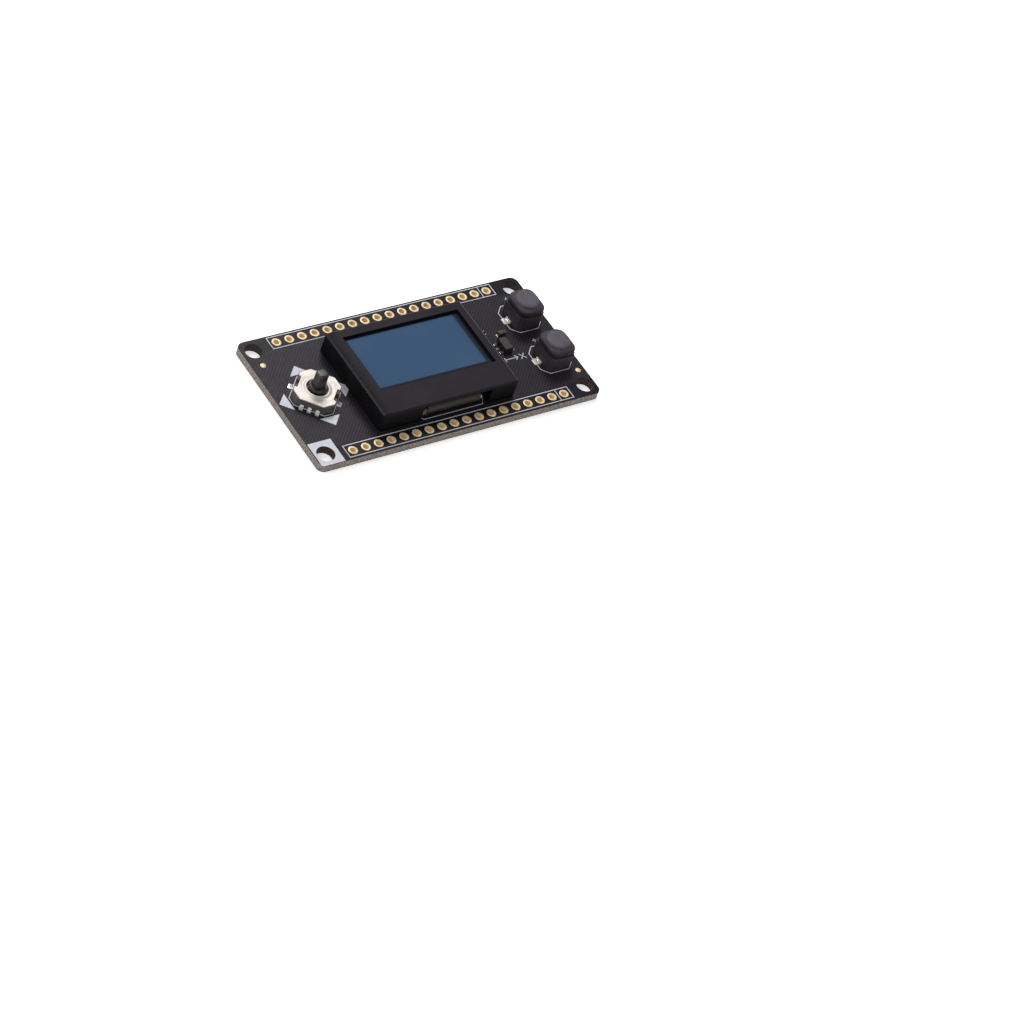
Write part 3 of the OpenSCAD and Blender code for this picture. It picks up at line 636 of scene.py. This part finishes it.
for word, middle in BUTTON_Y.items():
    for part, look, slot_name in (("base", nylon, "switch_housing"), ("housing", nylon, "switch_housing"),
                                  ("terminals", tin, "tinned_metal")):
        shell = soften(copy_of(f"{word}_button_{part}", f"{word}_button_{part}_part"), 0.06)
        coat(shell, look)
        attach(shell, "root")
        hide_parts(f"{word}_button_{part}")
    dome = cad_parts[f"{word}_button_dome"]
    coat(dome, spring)
    # From the plunger's foot up: its flange, its neck, the soft cap's skirt, and the round top.
    cap = loft([
        (1.16, 1.55, 1.55, 1.55), (1.21, 1.6, 1.6, 1.6), (1.95, 1.6, 1.6, 1.6),
        (1.95, 2.0, 2.0, 2.0), (2.35, 2.0, 2.0, 2.0), (2.35, 1.6, 1.6, 1.6),
        (3.2, 1.6, 1.6, 1.6), (3.2, 2.5, 2.75, 1.42), (3.24, 2.57, 2.82, 1.48),
        (3.3, 2.6, 2.85, 1.5), (3.82, 2.6, 2.85, 1.5), (3.95, 2.57, 2.82, 1.55),
        (4.06, 2.49, 2.74, 1.65), (4.16, 2.38, 2.62, 1.8), (4.23, 2.3, 2.48, 2.0),
        (4.27, 2.26, 2.36, 2.17), (4.31, 2.22, 2.24, 2.22), (4.4, 2.18, 2.18, 2.18),
        (4.52, 2.13, 2.13, 2.13), (4.63, 2.03, 2.03, 2.03), (4.7, 1.86, 1.86, 1.86),
        (4.74, 1.6, 1.6, 1.6), (4.747, 1.2, 1.2, 1.2), (4.75, 0.6, 0.6, 0.6),
    ], f"{word}_button_soft_cap", corner=14)
    cap.data.transform(Matrix.Translation((BUTTON_X * MM, middle * MM, BOARD_TOP * MM)))
    coat(cap, soft_black)
    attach(cap, f"{word}_button")
    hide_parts(f"{word}_button_cap")

# The five-way stick switch, turned by 45 degrees: a black nylon base with six tinned terminals moulded
# in, and a black nylon stick in a carrier and a tilt ring. A pressed steel cover holds them down, and its
# two tabs are folded over the base and soldered to the board.
STICK_TURN = 45
on_board = Matrix.Translation((STICK_X * MM, 0, BOARD_TOP * MM))
on_stick_body = on_board @ Matrix.Rotation(math.radians(STICK_TURN), 4, "Z")

# The stick's black nylon base gets a lighter grey copy of the nylon: painted light on its sides.
nylon_painted_light = finish("nylon painted light", Specular_IOR_Level=0.2)
mottle(nylon_painted_light, 1.5, tone(72, 68, 68), tone(84, 80, 79))
gloss(nylon_painted_light, 0.3, 0.45, 0.6)
relief(nylon_painted_light, clouds(nylon_painted_light, 0.12), 0.01)
# The stick's terminals, which stand in shade, get a lighter and less metallic copy of the tinned metal:
# painted light.
tin_painted_light = finish("tinned metal painted light", Metallic=0.05)
mottle(tin_painted_light, 0.4, tone(228, 225, 219), tone(249, 247, 243))
gloss(tin_painted_light, 0.15, 0.34, 0.5)
relief(tin_painted_light, clouds(tin_painted_light, 0.1), 0.006)
for node, look, slot_name, width in (("stick_switch_base", nylon_painted_light, "switch_housing", 0.08),
                                     ("stick_switch_terminals", tin_painted_light, "tinned_metal", 0.04)):
    shell = soften(copy_of(node, node + "_part"), width)
    coat(shell, look)
    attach(shell, "root")
    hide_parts(node)

inner_nylon = finish("switch inside", Roughness=0.5)
mottle(inner_nylon, 0.8, tone(70, 70, 72), tone(92, 92, 95))
for node, look in (("stick_switch_domes", spring), ("stick_tilt_ring", spring),
                   ("stick_carrier", inner_nylon)):
    coat(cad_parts[node], look)


def filleted(outline, r, steps=4):
    """An outline with its corners rounded."""
    rounded = []
    for i, corner in enumerate(outline):
        corner = Vector(corner)
        back = Vector(outline[i - 1]) - corner
        on = Vector(outline[(i + 1) % len(outline)]) - corner
        half = back.angle(on) / 2
        if half > 1.5:
            rounded.append(corner)
            continue
        reach = min(r / math.tan(half), 0.45 * back.length, 0.45 * on.length)
        start, end = corner + back.normalized() * reach, corner + on.normalized() * reach
        for step in range(steps + 1):
            t = step / steps
            rounded.append(start.lerp(corner, t).lerp(corner.lerp(end, t), t))
    return rounded


# The pressed cover: a flat plate, a dish raised round the stick's hole, and the two folded tabs.
TAB_HALF_W = 0.475
upper = [(3.75, 2.1), (2.25, 3.6), (1.4, 3.6), (1.4, 3.15), (TAB_HALF_W, 3.15)]
upper += [(-x, y) for x, y in upper[::-1]]
cover_outline = upper + [(-x, -y) for x, y in upper]
DISH_R = 3.0
dish_ring = [(DISH_R * math.cos(t), DISH_R * math.sin(t)) for t in (i * math.tau / 64 for i in range(64))]
COVER_LOW, COVER_TOP = 1.6, 1.8
cover_form = flat_shape(filleted(cover_outline, 0.12, 3), [dish_ring], COVER_LOW, COVER_TOP)
dish = turned([
    (DISH_R, COVER_LOW), (DISH_R, COVER_TOP), (2.85, 1.788), (2.65, 1.765), (2.5, 1.76), (2.4, 1.79),
    (2.32, 1.86), (2.25, 1.93), (2.16, 1.972), (2.06, 1.98), (1.97, 1.965), (1.91, 1.92), (1.88, 1.84),
    (1.87, 1.65), (1.92, COVER_LOW),
], "dish", closed=True, corner=17)
for vert in dish.data.vertices:
    vert.co.z = round(vert.co.z, 8)
cover_form.from_mesh(dish.data)
bpy.data.objects.remove(dish)
bmesh.ops.remove_doubles(cover_form, verts=cover_form.verts, dist=0.002 * MM)


def on_dish_ring(*points):
    """Whether the points lie where the pressed dish meets the flat of the cover."""
    return all(abs(p.xy.length - DISH_R * MM) < 0.002 * MM for p in points)


inner_wall = [face for face in cover_form.faces if on_dish_ring(*(vert.co for vert in face.verts))]
bmesh.ops.delete(cover_form, geom=inner_wall, context="FACES")
bmesh.ops.recalc_face_normals(cover_form, faces=cover_form.faces)
tab_side = [(2.95, 1.7), (2.95, 0.2), (2.96, 0.1), (3.0, 0.03), (3.1, 0.0), (4.35, 0.0), (4.35, 0.15),
            (3.26, 0.15), (3.18, 0.18), (3.145, 0.26), (3.145, 1.7)]
lay_over = Matrix(((0, 0, 1, 0), (1, 0, 0, 0), (0, 1, 0, 0), (0, 0, 0, 1)))
for turn in (0, 180):
    tab = object_from(flat_shape(tab_side, [], -TAB_HALF_W, TAB_HALF_W), "tab")
    tab.data.transform(Matrix.Rotation(math.radians(turn), 4, "Z") @ lay_over)
    cover_form.from_mesh(tab.data)
    bpy.data.objects.remove(tab)
cover = object_from(cover_form, "stick_switch_pressed_cover", 35)
for edge in cover.data.edges:
    if on_dish_ring(*(cover.data.vertices[i].co for i in edge.vertices)):
        edge.use_edge_sharp = True
cover.data.transform(on_stick_body)
soften(cover, 0.035, above=50)

bright_cover = finish("pressed plated steel", Metallic=0.35, Specular_IOR_Level=0.3)
mottle(bright_cover, 1.6, tone(198, 190, 182), tone(213, 206, 200))
gloss(bright_cover, 0.3, 0.48, 0.62)
relief(bright_cover, clouds(bright_cover, 0.2, stretch=(1, 5, 1)), 0.004)
coat(cover, bright_cover)
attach(cover, "root")
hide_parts("stick_switch_cover")

# From the foot up: the stick's root, its flange in the cover's hole, and the shaft with its blunt top.
stick_form_rings = [
    (0.93, 0.68, 0.68, 0.68), (0.98, 0.75, 0.75, 0.75), (1.8, 0.75, 0.75, 0.75), (1.8, 1.46, 1.46, 1.46),
    (1.86, 1.55, 1.55, 1.55), (1.96, 1.63, 1.63, 1.63), (2.12, 1.67, 1.67, 1.67), (2.25, 1.65, 1.65, 1.65),
    (2.52, 1.52, 1.52, 1.52), (2.58, 1.48, 1.48, 1.48), (2.6, 1.42, 1.42, 1.42), (2.6, 1.33, 1.33, 1.33),
    (2.57, 1.27, 1.27, 1.27), (2.46, 1.22, 1.22, 1.2), (2.43, 1.15, 1.15, 1.05), (2.46, 1.06, 1.06, 0.9),
    (2.56, 0.99, 0.99, 0.65), (2.75, 0.95, 0.95, 0.5), (5.05, 0.92, 0.92, 0.48), (5.22, 0.9, 0.9, 0.49),
    (5.33, 0.84, 0.84, 0.5), (5.385, 0.73, 0.73, 0.48), (5.4, 0.56, 0.56, 0.4),
]
stick_form = loft(stick_form_rings, None, corner=10)
PIN_R = 0.12
PIN_REACH = 1.2
PIN_LEVEL = 1.08
pins = turned([(PIN_R, -PIN_REACH), (PIN_R, PIN_REACH)], "pins", corner=5)
lay_pins = Matrix.Translation((0, 0, PIN_LEVEL * MM)) @ Matrix.Rotation(math.radians(90), 4, "X")
pins.data.transform(lay_pins)
stick_form.from_mesh(pins.data)
bpy.data.objects.remove(pins)
stick = object_from(stick_form, "five_way_stick")
stick.data.transform(on_board)
gloss_black = finish("stick nylon", Specular_IOR_Level=0.4)
mottle(gloss_black, 0.8, tone(34, 27, 29), tone(47, 39, 41))
gloss(gloss_black, 0.3, 0.32, 0.45)
relief(gloss_black, clouds(gloss_black, 0.15), 0.008)
coat(stick, gloss_black)
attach(stick, "stick_lever")
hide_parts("stick")

# The solder: a bright fillet at the foot of every terminal, lead, tab and end cap, drawn up while hot.
# Each one is a low mound that runs out over its tinned land on the board.
mound = bmesh.new()
MOUND_STEPS = 8
grid = []
for i in range(MOUND_STEPS + 1):
    out = i / MOUND_STEPS
    rank = []
    for j in range(MOUND_STEPS + 1):
        aside = 2 * j / MOUND_STEPS - 1
        height = (1 - out) ** 1.7 * (1 - aside ** 4) ** 0.5 * 0.92 + 0.08
        rank.append(mound.verts.new((out * MM, aside * 0.5 * (1 - 0.25 * out ** 2) * MM, height * MM)))
    grid.append(rank)
for low, high in zip(grid, grid[1:]):
    for a, b, c, d in zip(low, high, high[1:], low[1:]):
        mound.faces.new((a, b, c, d))
left_side = [rank[0] for rank in grid]
right_side = [rank[-1] for rank in grid[-2::-1]]
edge_loop = left_side + grid[-1][1:] + right_side + grid[0][-2:0:-1]
foot_loop = [mound.verts.new((v.co.x, v.co.y, 0)) for v in edge_loop]
for a, b, c, d in zip(edge_loop, foot_loop, foot_loop[1:] + foot_loop[:1], edge_loop[1:] + edge_loop[:1]):
    mound.faces.new((a, b, c, d))
mound.faces.new(foot_loop)
bmesh.ops.recalc_face_normals(mound, faces=mound.faces)
solder_mound = object_from(mound, "solder_mound", 60)

joints = []
LEAD_STEP = 0.95
TERMINAL_STEP = 1.4


def solder_at(x, y, turn, feet, size):
    """Puts a fillet at each foot, given as places round a part's middle, in mm."""
    for foot_x, foot_y in around(x, y, feet, turn):
        joints.append((foot_x, foot_y, BOARD_TOP, turn, size))


for turn in (0, 180):
    for middle in BUTTON_Y.values():
        solder_at(BUTTON_X, middle, turn, [(2.62, 0)], (1.2, 1.5, 0.26))
    three_terminals = [(3.72, step * TERMINAL_STEP) for step in (-1, 0, 1)]
    solder_at(STICK_X, 0, STICK_TURN + turn, three_terminals, (0.8, 0.8, 0.36))
    solder_at(STICK_X, 0, STICK_TURN + 90 + turn, [(3.93, 0)], (0.75, 1.25, 0.4))
    three_leads = [(0.84, step * LEAD_STEP) for step in (-1, 0, 1)]
    solder_at(17.15, -0.05, turn, three_leads, (0.7, 0.44, 0.14))
    for places, height in ((capacitor_places, 0.3), (resistor_places, 0.24)):
        for x, y, _ in places:
            solder_at(x, y, turn, [(0.79, 0)], (0.2, 0.66, height))
solder = finish("solder", Metallic=0.7)
solder_cast = clouds(solder, 0.35)
solder_shade = between(solder, solder_cast, 0.3, 0.7)
to_shader(solder, "Base Color", mix_of(solder, solder_shade, tone(186, 183, 178), tone(226, 224, 220)))
gloss(solder, 0.2, 0.2, 0.38)
relief(solder, solder_cast, 0.02)
fillets = repeat(solder_mound, joints, "solder_fillets", solder)
bpy.data.objects.remove(solder_mound)
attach(fillets, "root")

# The display panel: two sheets of glass with the pixels sealed between them, held up by two foam
# strips. A bare driver chip sits on the ledge, and a copper-on-film tail folds round and is soldered to
# the board. A dark blue polarising film covers the front.
panel_glass = finish("panel glass", Roughness=0.12, Coat_Weight=0.3)
mottle(panel_glass, 4.0, tone(52, 62, 62), tone(64, 74, 74))
for node in ("display_front_glass", "display_rear_glass"):
    coat(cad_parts[node], panel_glass)
silicon = finish("driver chip silicon", Roughness=0.25, Metallic=0.4)
mottle(silicon, 0.4, tone(70, 72, 80), tone(92, 94, 102))
coat(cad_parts["display_driver_chip"], silicon)
foam = finish("black foam", Roughness=0.9)
foam_cells = wire(foam, "TexVoronoi", Vector=place_on(foam), Scale=1 / (0.25 * MM))
to_shader(foam, "Base Color", mix_of(foam, foam_cells, tone(30, 30, 31), tone(58, 57, 58)))
relief(foam, foam_cells, 0.08)
coat(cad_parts["display_foam_strips"], foam)

film = finish("flex film", Roughness=0.4, Specular_IOR_Level=0.25)
TRACE_PITCH = 0.36
along = wire(film, "SeparateXYZ", Vector=place_on(film)).node.outputs["X"]
trace_count = sum_of(film, "MULTIPLY", along, 1 / (TRACE_PITCH * MM))
trace = between(film, sum_of(film, "PINGPONG", trace_count, 0.5), 0.16, 0.26)
film_cast = patchy(film, 2.0, tone(46, 44, 41), tone(56, 54, 51))
to_shader(film, "Base Color", mix_of(film, trace, film_cast, tone(62, 58, 50)))
relief(film, trace, 0.02)
tail = soften(copy_of("display_flex_tail", "folded_flex_tail"), 0.03)
coat(tail, film)
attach(tail, "root")
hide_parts("display_flex_tail")

polariser_film = finish("blue polariser", Roughness=0.12, Specular_IOR_Level=0.35)
spot = wire(polariser_film, "SeparateXYZ", Vector=place_on(polariser_film)).node
# The pixels' field is lighter than the rest of the film, with a soft border on each of its four sides.
ramps = []
for axis, edge, soft in (("X", -12.35, 0.5), ("X", 9.9, -0.7), ("Y", -4.55, 0.35), ("Y", 7.2, -0.5)):
    ramps.append(between(polariser_film, spot.outputs[axis], edge * MM, (edge + soft) * MM))
lit = sum_of(polariser_film, "MULTIPLY", sum_of(polariser_film, "MULTIPLY", *ramps[:2]),
             sum_of(polariser_film, "MULTIPLY", *ramps[2:]))
sheen = patchy(polariser_film, 14.0, tone(46, 73, 104), tone(52, 79, 110))
to_shader(polariser_film, "Base Color", mix_of(polariser_film, lit, tone(18, 22, 30), sheen))
relief(polariser_film, clouds(polariser_film, 3.0), 0.002)
window = soften(copy_of("display_polariser", "blue_polariser_film"), 0.03)
coat(window, polariser_film)
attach(window, "root")
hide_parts("display_polariser")

# The display's frame: moulded black plastic with thin walls, a window, and a notch where the tail comes
# out. It is snapped over the panel and stands on the board. Its walls and its left bar are painted darker
# as painted shade, and the bevels along its right side edges carry a painted highlight.
satin = finish("frame plastic", Specular_IOR_Level=0.055)
front_shade = patchy(satin, 5.0, tone(35, 31, 37), tone(39, 34, 40))
frame_place = wire(satin, "SeparateXYZ", Vector=place_on(satin)).node
# The left bar of the frame's top is painted darker than the rest: painted shade.
left_bar_painted_shade = between(satin, frame_place.outputs["X"], -15.0 * MM, -13.0 * MM, 1.0, 0.0)
to_shader(satin, "Base Color", mix_of(satin, left_bar_painted_shade, front_shade, tone(19, 18, 19)))
gloss(satin, 0.4, 0.42, 0.55)
relief(satin, clouds(satin, 0.15), 0.006)
surround = soften(copy_of("display_frame", "display_surround"), 0.06)
# The frame's walls get a darker copy of the frame plastic: painted shade.
wall_painted_shade = finish("frame walls painted shade", Specular_IOR_Level=0.06)
mottle(wall_painted_shade, 3.0, tone(15, 14, 16), tone(20, 19, 21))
gloss(wall_painted_shade, 0.4, 0.5, 0.65)
relief(wall_painted_shade, clouds(wall_painted_shade, 0.15), 0.006)
# The bevels along the frame's side edges: a painted highlight on the right ones; the left ones keep about
# the frame's own dark colour.
edge_painted_highlight = finish("frame edge painted highlight", Specular_IOR_Level=0.2)
right_painted_highlight = patchy(edge_painted_highlight, 1.5, tone(114, 110, 116), tone(144, 140, 146))
highlight_x = wire(edge_painted_highlight, "SeparateXYZ", Vector=place_on(edge_painted_highlight)).node.outputs["X"]
on_right = between(edge_painted_highlight, highlight_x, -5.0 * MM, 5.0 * MM)
to_shader(edge_painted_highlight, "Base Color", mix_of(edge_painted_highlight, on_right, tone(32, 29, 34), right_painted_highlight))
gloss(edge_painted_highlight, 0.4, 0.3, 0.45)
# Bevels tilted to the side get the painted highlight, walls get the painted shade, and the rest is the
# top.
for face in surround.data.polygons:
    takes_highlight = abs(face.normal.x) > 0.3 and 0.3 < face.normal.z < 0.95
    face.material_index = 2 if takes_highlight else 1 if abs(face.normal.z) < 0.3 else 0
coat(surround, satin, wall_painted_shade, edge_painted_highlight)
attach(surround, "root")
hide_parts("display_frame")

# The drops of glue at the tail's two ends: clear amber resin on the left, a pale dab on the right.
# They are put on by hand to hold the fold of the tail still.
amber = finish("amber glue", Roughness=0.12, Coat_Weight=0.5)
mottle(amber, 0.35, tone(24, 22, 13), tone(92, 82, 44), 0.4, 0.6, detail=5.0)
relief(amber, clouds(amber, 0.3), 0.06)
pale = finish("pale glue", Roughness=0.4)
mottle(pale, 0.3, tone(196, 190, 176), tone(232, 228, 216))
relief(pale, clouds(pale, 0.2), 0.03)
drops = (("amber_glue_drop", amber, (-5.75, -9.5, BOARD_TOP + 0.85), (0.8, 0.55, 0.85)),
         ("pale_glue_dab", pale, (5.55, -9.75, BOARD_TOP + 1.35), (0.22, 0.3, 0.3)))
for name, look, middle, reach in drops:
    drop = bmesh.new()
    bmesh.ops.create_icosphere(drop, subdivisions=4, radius=1.0)
    # Two waves over the ball make it an uneven drop.
    for vert in drop.verts:
        x, y, z = vert.co
        wobble = 1 + 0.09 * math.sin(5.1 * x + 2.3 * y) + 0.07 * math.sin(6.7 * z - 3.9 * x)
        vert.co = Vector([m + r * c * wobble for m, r, c in zip(middle, reach, (x, y, z))]) * MM
    drop_piece = object_from(drop, name, 80)
    coat(drop_piece, look)
    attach(drop_piece, "root")

# The studio: a plain pale floor, soft light from all round, one bright light above and behind the board,
# and weaker ones to the left and in front. The camera stands where the photograph was taken from.
floor_mesh = bpy.data.meshes.new("floor")
FLOOR_HALF = 2.0
FLOOR_LEVEL = -0.02
floor_corners = [(x * FLOOR_HALF, y * FLOOR_HALF, FLOOR_LEVEL * MM)
                 for x, y in ((-1, -1), (1, -1), (1, 1), (-1, 1))]
floor_mesh.from_pydata(floor_corners, [], [(0, 1, 2, 3)])
floor = bpy.data.objects.new("floor", floor_mesh)
bpy.context.scene.collection.objects.link(floor)
paper = finish("pale paper", Roughness=0.9, Specular_IOR_Level=0.1, Emission_Strength=0.5)
paper.node_tree.nodes["Principled BSDF"].inputs["Emission Color"].default_value = (1.0, 1.0, 1.0, 1.0)
mottle(paper, 30.0, tone(250, 250, 250), tone(253, 253, 253))
coat(floor, paper)

world = bpy.data.worlds.new("soft room")
world.use_nodes = True
world.node_tree.nodes["Background"].inputs["Color"].default_value = (1.0, 1.0, 1.0, 1.0)
world.node_tree.nodes["Background"].inputs["Strength"].default_value = 0.38
bpy.context.scene.world = world
for name, place, size, power in (("window light", (0.09, 0.24, 0.30), 0.14, 1.14),
                                 ("left light", (-0.45, 0.12, 0.35), 0.35, 1.15),
                                 ("front light", (-0.15, -0.45, 0.30), 0.3, 0.3)):
    lamp = bpy.data.lights.new(name, "AREA")
    lamp.size = size
    lamp.energy = power
    light = bpy.data.objects.new(name, lamp)
    light.location = place
    light.rotation_euler = (-Vector(place)).to_track_quat("-Z", "Y").to_euler()
    bpy.context.scene.collection.objects.link(light)

CAMERA_PLACE = Vector((-0.321714, -0.303621, 0.406751))
CAMERA_AIM = Vector((-0.001289, -0.031912, 0))
CAMERA_ROLL = math.radians(23.301)
look = (CAMERA_AIM - CAMERA_PLACE).normalized()
level_right = look.cross(Vector((0, 0, 1))).normalized()
level_up = level_right.cross(look)
right = level_right * math.cos(CAMERA_ROLL) + level_up * math.sin(CAMERA_ROLL)
up = right.cross(look)
camera_data = bpy.data.cameras.new("camera")
camera_data.lens = 125.42
camera_data.sensor_width = 36.0
camera_data.clip_start = 0.01
camera = bpy.data.objects.new("camera", camera_data)
camera.matrix_world = Matrix.Translation(CAMERA_PLACE) @ Matrix((right, up, -look)).transposed().to_4x4()
bpy.context.scene.collection.objects.link(camera)
bpy.context.scene.camera = camera
bpy.context.scene.view_settings.view_transform = "Standard"
